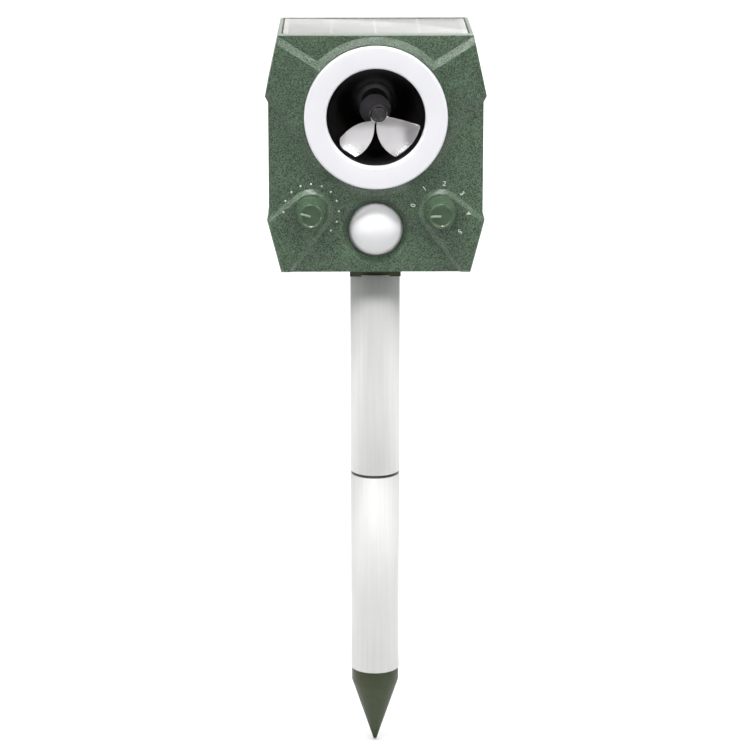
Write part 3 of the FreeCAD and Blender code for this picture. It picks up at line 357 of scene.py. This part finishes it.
# A material for each of the record's slots, and one for the knobs' pointers, whose paler colour is a painted
# highlight on the pointer rib.
MATERIALS = {
    "green_shell": grained_plastic("green_shell", (0.039, 0.068, 0.039)),
    "green_knob": satin_plastic("green_knob", (0.040, 0.068, 0.038), 0.24),
    "green_stake": satin_plastic("green_stake", (0.030, 0.040, 0.018), 0.45, gloss=0.2),
    "dial_paint": satin_plastic("dial_paint", (0.50, 0.58, 0.50), 0.5),
    # lighter than the knob: a painted highlight standing in for light on the pointer rib's top
    "pointer_highlight_paint": satin_plastic("pointer_highlight_paint", (0.17, 0.23, 0.17), 0.3),
    "aluminium_tube": satin_aluminium(),
    "black_plastic": satin_plastic("black_plastic", (0.012, 0.012, 0.011), 0.2),
    "grey_plastic": satin_plastic("grey_plastic", (0.20, 0.185, 0.21), 0.3),
    "white_diffuser": milky("white_diffuser", (0.575, 0.575, 0.60), 0.4, 0.3),
    "white_lens": lens_sheet(),
    "polished_metal": polished_metal(),
    "dark_metal": plain_metal("dark_metal", (0.09, 0.088, 0.09), 0.3),
    "steel": plain_metal("steel", (0.55, 0.55, 0.54), 0.3),
    "nickel_contacts": plain_metal("nickel_contacts", (0.66, 0.63, 0.58), 0.25),
    "black_rubber": rubber(),
    "circuit_board": circuit_board(),
    "lamp": milky("lamp", (0.85, 0.83, 0.7), 0.15, 0.2),
    "component_black": satin_plastic("component_black", (0.02, 0.02, 0.02), 0.45),
    "shaft_steel": plain_metal("shaft_steel", (0.6, 0.6, 0.6), 0.3),
    "driver_metal": plain_metal("driver_metal", (0.35, 0.35, 0.36), 0.35),
    "solar_cell": solar_cell(),
    "clear_cover": clear_cover(),
    "battery_wrap": battery_wrap(),
}
SLOT_OF = {row["node"]: row["material_slot"] for row in frame["record"]["subparts"]}

# Widths in mm of the rounded edges on the CAD nodes whose edges show.
EDGE_ROUND = {
    "front_cover": 0.55, "rear_housing": 0.6, "neck": 0.5, "battery_door": 0.4, "usb_cover": 0.4,
    "switch_slider": 0.3, "solar_cover": 0.1, "spike": 0.3,
}


def finish_cad_node(name, node):
    """Give a CAD node its material, rounded edges where they show, and smooth shading."""
    node.data.materials.clear()
    node.data.materials.append(MATERIALS[SLOT_OF[name]])
    weld = node.modifiers.new("weld", "WELD")
    weld.merge_threshold = 0.001 * MM
    if name in EDGE_ROUND:
        flat = node.modifiers.new("flat", "DECIMATE")
        flat.decimate_type = "DISSOLVE"
        flat.angle_limit = math.radians(0.5)
        edges = node.modifiers.new("edges", "BEVEL")
        edges.width = EDGE_ROUND[name] * MM
        edges.segments = 3
        edges.limit_method = "ANGLE"
        edges.angle_limit = math.radians(24)
        edges.harden_normals = True
    smooth(node.data, 30)


# ---------------------------------------------------------------- pieces

def rounded_bar(name, size, radius, place):
    """A bar with rounded edges: size along x, y and z, moved by a matrix."""
    shape = bmesh.new()
    bmesh.ops.create_cube(shape, size=1.0)
    bmesh.ops.scale(shape, vec=size, verts=shape.verts)
    bmesh.ops.bevel(shape, geom=shape.edges[:], offset=radius, segments=3, profile=0.5, affect="EDGES")
    mesh = bpy.data.meshes.new(name)
    shape.to_mesh(mesh)
    shape.free()
    mesh.transform(place)
    return smooth(mesh, 50)


def axis_of(node):
    """The point at y = 0 on the line along Y through a node's middle."""
    low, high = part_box(node)
    middle = (low + high) / 2
    return Vector((middle.x, 0, middle.z))


def make_knob(name, turn):
    """A tapered knob: a rolled rim round a dished face, a pointer rib coloured pale as a painted highlight,
    and seven grip ribs.

    The turn is in degrees round +Y, and at 0 the pointer is towards -X.
    """
    low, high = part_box(name)
    skirt_r, skirt_high, top_r, edge_round = 8.1 * MM, 1.2 * MM, 6.1 * MM, 0.45 * MM
    rim, rim_slope, dish, bore_r, bore_roof = 1.1 * MM, 0.4 * MM, 0.7 * MM, 3 * MM, 2 * MM
    pointer_proud = 0.1 * MM
    back = high.y
    front = low.y + pointer_proud
    skirt = back - skirt_high
    dish_floor = front + dish
    bore_floor = dish_floor + bore_roof
    profile = softened([
        (bore_floor, 0), (bore_floor, bore_r), (back, bore_r), (back, skirt_r), (skirt, skirt_r),
        (front, top_r), (front, top_r - rim), (dish_floor, top_r - rim - rim_slope), (dish_floor, 0),
    ], edge_round)
    axis = Matrix.Translation(axis_of(name))
    parts = [turned(name, profile, axis_of(name))]

    pointer_size, pointer_round = (5.3 * MM, 0.9 * MM, 1.0 * MM), 0.28 * MM
    pointer_out, pointer_back = 2.7 * MM, 0.35 * MM
    place = Matrix.Translation((-pointer_out, front + pointer_back, 0))
    face = axis @ Matrix.Rotation(math.radians(turn), 4, "Y")
    pointer = rounded_bar(name, pointer_size, pointer_round, face @ place)
    # the pointer's pale colour is a painted highlight on the lit top of the rib
    piece(name + "_pointer", pointer, MATERIALS["pointer_highlight_paint"], name)

    grips, first_grip = 7, 42.6
    grip_size, grip_round = (0.75 * MM, 7.0 * MM, 0.8 * MM), 0.25 * MM
    grip_out, grip_back, grip_lean = 6.95 * MM, 0.6 * MM, 0.55
    outward = Matrix.Translation((-grip_out, (skirt + front) / 2 + grip_back, 0))
    tilt = Matrix.Rotation(grip_lean * math.atan2(skirt_r - top_r, skirt - front), 4, "Z")
    for index in range(grips):
        around = Matrix.Rotation(math.radians(turn + first_grip + index * 360 / grips), 4, "Y")
        parts.append(rounded_bar(name, grip_size, grip_round, axis @ around @ outward @ tilt))
    piece(name + "_turned", joined(name, parts), MATERIALS["green_knob"], name,
          replaced=name)


def make_sensor_lens():
    """A shallow dome on a short skirt, with its flange behind the cover."""
    low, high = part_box("pir_lens")
    radius, skin, rise, steps = 13 * MM, 1.0 * MM, 9 * MM, 26
    flange_r = (high.x - low.x) / 2
    back, front = high.y, low.y
    ball = (radius ** 2 + rise ** 2) / (2 * rise)
    half = math.asin(radius / ball)

    def dome(reach):
        """Points from the front's middle to the rim, on a ball of this radius about the dome's centre."""
        angles = [half * step / steps for step in range(steps + 1)]
        return [(front + ball - reach * math.cos(angle), reach * math.sin(angle)) for angle in angles]

    profile = [(back, radius - skin), (back, flange_r), (back - skin, flange_r), (back - skin, radius)]
    profile += dome(ball)[::-1] + dome(ball - skin) + [(back, radius - skin)]
    piece("lens_dome", turned("lens_dome", profile, axis_of("pir_lens")), MATERIALS["white_lens"], "head",
          replaced="pir_lens")


def make_light_ring():
    """A channel ring with softly rounded front edges."""
    low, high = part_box("light_ring")
    inner, plate, foot_lift, edge_round, edge_steps = 24.0 * MM, 1.8 * MM, 0.3 * MM, 1.1 * MM, 6
    outer = (high.x - low.x) / 2
    front, back = low.y, high.y
    foot = back - foot_lift
    faces = [(foot, inner), (front, inner), (front, outer), (back, outer)]
    profile = [(foot, inner + plate)] + softened(faces, edge_round, edge_steps)
    profile += [(back, outer - plate), (front + plate, outer - plate)]
    profile += [(front + plate, inner + plate), (foot, inner + plate)]
    piece("ring_light", turned("ring_light", profile, axis_of("light_ring")), MATERIALS["white_diffuser"],
          "head", replaced="light_ring")


def make_hub_cap():
    """The dark cap nut in front of the leaves: a chamfered drum with a raised rim and a centre pin."""
    low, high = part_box("deflector_nut")
    radius, chamfer_deep, chamfer_in, edge_round = 3.9 * MM, 0.7 * MM, 0.5 * MM, 0.18 * MM
    rim, rim_slope, dish = 0.8 * MM, 0.2 * MM, 0.5 * MM
    pin_r, pin_slope, pin_back = 1.3 * MM, 0.1 * MM, 0.15 * MM
    front, back = low.y, high.y
    dish_floor, pin_front = front + dish, front + pin_back
    rim_out = radius - chamfer_in
    rim_in = rim_out - rim
    profile = softened([
        (back, 0), (back, radius), (front + chamfer_deep, radius), (front, rim_out), (front, rim_in),
        (dish_floor, rim_in - rim_slope), (dish_floor, pin_r), (pin_front, pin_r - pin_slope), (pin_front, 0),
    ], edge_round)
    piece("hub_cap", turned("hub_cap", profile, axis_of("deflector_nut")), MATERIALS["dark_metal"], "head",
          replaced="deflector_nut")


def cross_recess(name, x, y, z):
    """Two crossed bars about a point, to cut out of a screw's head."""
    size, edge_round = (2.6 * MM, 1.6 * MM, 0.55 * MM), 0.1 * MM
    bars = []
    for angle in (45, 135):
        place = Matrix.Translation((x, y, z)) @ Matrix.Rotation(math.radians(angle), 4, "Y")
        bars.append(rounded_bar(name, size, edge_round, place))
    return bars


def cross_screw(name, x, z, tip_y, top_y):
    """A pan-head screw along Y with a cross recess in its rear face."""
    tip_long, top_share, edge_round = 0.8 * MM, 0.8, 0.5 * MM
    head_y = top_y - HEAD_HIGH
    profile = softened([
        (tip_y, 0), (tip_y + tip_long, SHANK_R), (head_y, SHANK_R), (head_y, HEAD_R),
        (top_y, HEAD_R * top_share), (top_y, 0),
    ], edge_round)
    body = bpy.data.objects.new(name, turned(name, profile, Vector((x, 0, z))))
    bpy.context.scene.collection.objects.link(body)
    for index, mesh in enumerate(cross_recess(name, x, top_y, z)):
        tool = bpy.data.objects.new(f"{name}_slot_{index}", mesh)
        bpy.context.scene.collection.objects.link(tool)
        cut = body.modifiers.new("recess", "BOOLEAN")
        cut.operation = "DIFFERENCE"
        cut.solver = "EXACT"
        cut.object = tool
    bpy.context.view_layer.update()
    shown = body.evaluated_get(bpy.context.evaluated_depsgraph_get())
    mesh = bpy.data.meshes.new_from_object(shown)
    for modifier in list(body.modifiers):
        bpy.data.objects.remove(modifier.object)
    bpy.data.objects.remove(body)
    return smooth(mesh, 30)


def make_door_screws():
    """Four cross-head screws at the battery door's corners."""
    low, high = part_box("door_screws")
    meshes = []
    for x in (low.x + HEAD_R, high.x - HEAD_R):
        for z in (low.z + HEAD_R, high.z - HEAD_R):
            meshes.append(cross_screw("door_screw", x, z, low.y, high.y))
    piece("door_cross_screws", joined("door_cross_screws", meshes), MATERIALS["steel"], "battery_door",
          replaced="door_screws")


def make_case_screws():
    """Four cross-head screws in the rear housing's deep wells, the lower two a little closer together."""
    low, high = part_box("case_screws")
    lower_x = 39.5 * MM
    meshes = []
    for x, z in [(lower_x, low.z + HEAD_R), (high.x - HEAD_R, high.z - HEAD_R)]:
        for side in (-1, 1):
            meshes.append(cross_screw("case_screw", side * x, z, low.y, high.y))
    piece("case_cross_screws", joined("case_cross_screws", meshes), MATERIALS["steel"], "head",
          replaced="case_screws")


def raised_text(name, words, size):
    """A mesh of raised text, flat on the XY plane about the origin."""
    thick, bolder = 0.3 * MM, 0.02 * MM
    text = bpy.data.curves.new(name, "FONT")
    text.body = words
    text.size = size
    text.align_x = "CENTER"
    text.align_y = "CENTER"
    text.extrude = thick
    text.offset = bolder
    draft = bpy.data.objects.new(name, text)
    bpy.context.scene.collection.objects.link(draft)
    mesh = bpy.data.meshes.new_from_object(draft)
    bpy.data.objects.remove(draft)
    return mesh


def make_numerals():
    """Numbers 0 to 5 on an arc round the right knob, each with its head turned outwards."""
    count, size, reach, sunk = 6, 3.3 * MM, 13.6 * MM, 0.1 * MM
    first, step = -78, 42.8
    on_face = 4                         # the first four stand on the lower face, the rest on the pad
    facing = Matrix.Rotation(math.radians(90), 4, "X")
    for digit in range(count):
        angle = math.radians(first + digit * step)
        spot = axis_of("knob_right") + reach * Vector((math.sin(angle), 0, math.cos(angle)))
        spot.y = (FACE if digit < on_face else PAD_FRONT) + sunk
        mesh = raised_text(f"numeral_{digit}", str(digit), size)
        mesh.transform(Matrix.Translation(spot) @ Matrix.Rotation(angle, 4, "Y") @ facing)
        piece(f"numeral_{digit}", mesh, MATERIALS["dial_paint"], "head")


def make_camera():
    """Look down at the stake's middle from the front, from far off with a long lens."""
    pitch, yaw, distance = math.radians(14.7), math.radians(-0.7), 1.400
    aim = Vector((0, 0, 0.1979))
    away = Vector((math.sin(yaw) * math.cos(pitch), -math.cos(yaw) * math.cos(pitch), math.sin(pitch)))
    sight = bpy.data.cameras.new("camera")
    sight.lens = 132
    sight.sensor_width = 36
    made = bpy.data.objects.new("camera", sight)
    made.location = aim + distance * away
    made.rotation_euler = (math.pi / 2 - pitch, 0, yaw)
    bpy.context.scene.collection.objects.link(made)
    bpy.context.scene.camera = made


def make_stage():
    """A pale floor under the spike's tip."""
    mesh = bpy.data.meshes.new("floor")
    reach = 6.0
    corners = [(-reach, -reach, 0), (reach, -reach, 0), (reach, reach, 0), (-reach, reach, 0)]
    mesh.from_pydata(corners, [], [(0, 1, 2, 3)])
    mesh.materials.append(floor_white())
    floor = bpy.data.objects.new("floor", mesh)
    bpy.context.scene.collection.objects.link(floor)


def make_area_light(name, place, target, size, power, spread=180):
    """Aim a rectangular light; a narrow spread keeps it off what lies beside its target."""
    light = bpy.data.lights.new(name, "AREA")
    light.shape = "RECTANGLE"
    light.size, light.size_y = size
    light.energy = power
    light.spread = math.radians(spread)
    made = bpy.data.objects.new(name, light)
    made.location = place
    made.rotation_euler = (Vector(target) - Vector(place)).to_track_quat("-Z", "Y").to_euler()
    bpy.context.scene.collection.objects.link(made)


def make_lights():
    """A key above, a pair in front, a pair beside the tubes, cards before and behind, one over the floor."""
    make_area_light("key", place=(-0.08, -0.37, 1.92), target=(0, 0, 0.3), size=(0.7, 0.3),
                    power=1.6, spread=26)
    for side in (-1, 1):
        make_area_light(f"front_light_{side + 1}", place=(0.85 * side, -1.13, 1.24), target=(0, 0, 0.37),
                        size=(0.5, 0.3), power=0.38, spread=26)
        make_area_light(f"side_light_{side + 1}", place=(1.3 * side, -0.4, 0.17), target=(0, 0, 0.2),
                        size=(0.2, 0.12), power=0.075, spread=15)
    make_area_light("front_card", place=(0.2, -2.3, 1.0), target=(0, 0, 0.3), size=(2.6, 1.1), power=4.5)
    make_area_light("rear_card", place=(0, 3.4, 1.4), target=(0, 0, 0.6), size=(5.0, 2.4), power=46)
    make_area_light("over_floor", place=(0, 1.9, 2.2), target=(0, 1.9, 0), size=(6.0, 3.6), power=120)


def make_surround():
    """An even white surround, shown with plain display colours."""
    world = bpy.data.worlds.new("surround")
    world.use_nodes = True
    world.node_tree.nodes["Background"].inputs["Color"].default_value = (1, 1, 1, 1)
    world.node_tree.nodes["Background"].inputs["Strength"].default_value = 0.28
    bpy.context.scene.world = world
    bpy.context.scene.view_settings.view_transform = "Standard"


for node_name, node_object in frame["nodes"].items():
    finish_cad_node(node_name, node_object)
make_knob("knob_left", turn=16)
make_knob("knob_right", turn=0)
make_sensor_lens()
make_light_ring()
make_hub_cap()
make_door_screws()
make_case_screws()
make_numerals()
make_camera()
make_stage()
make_lights()
make_surround()
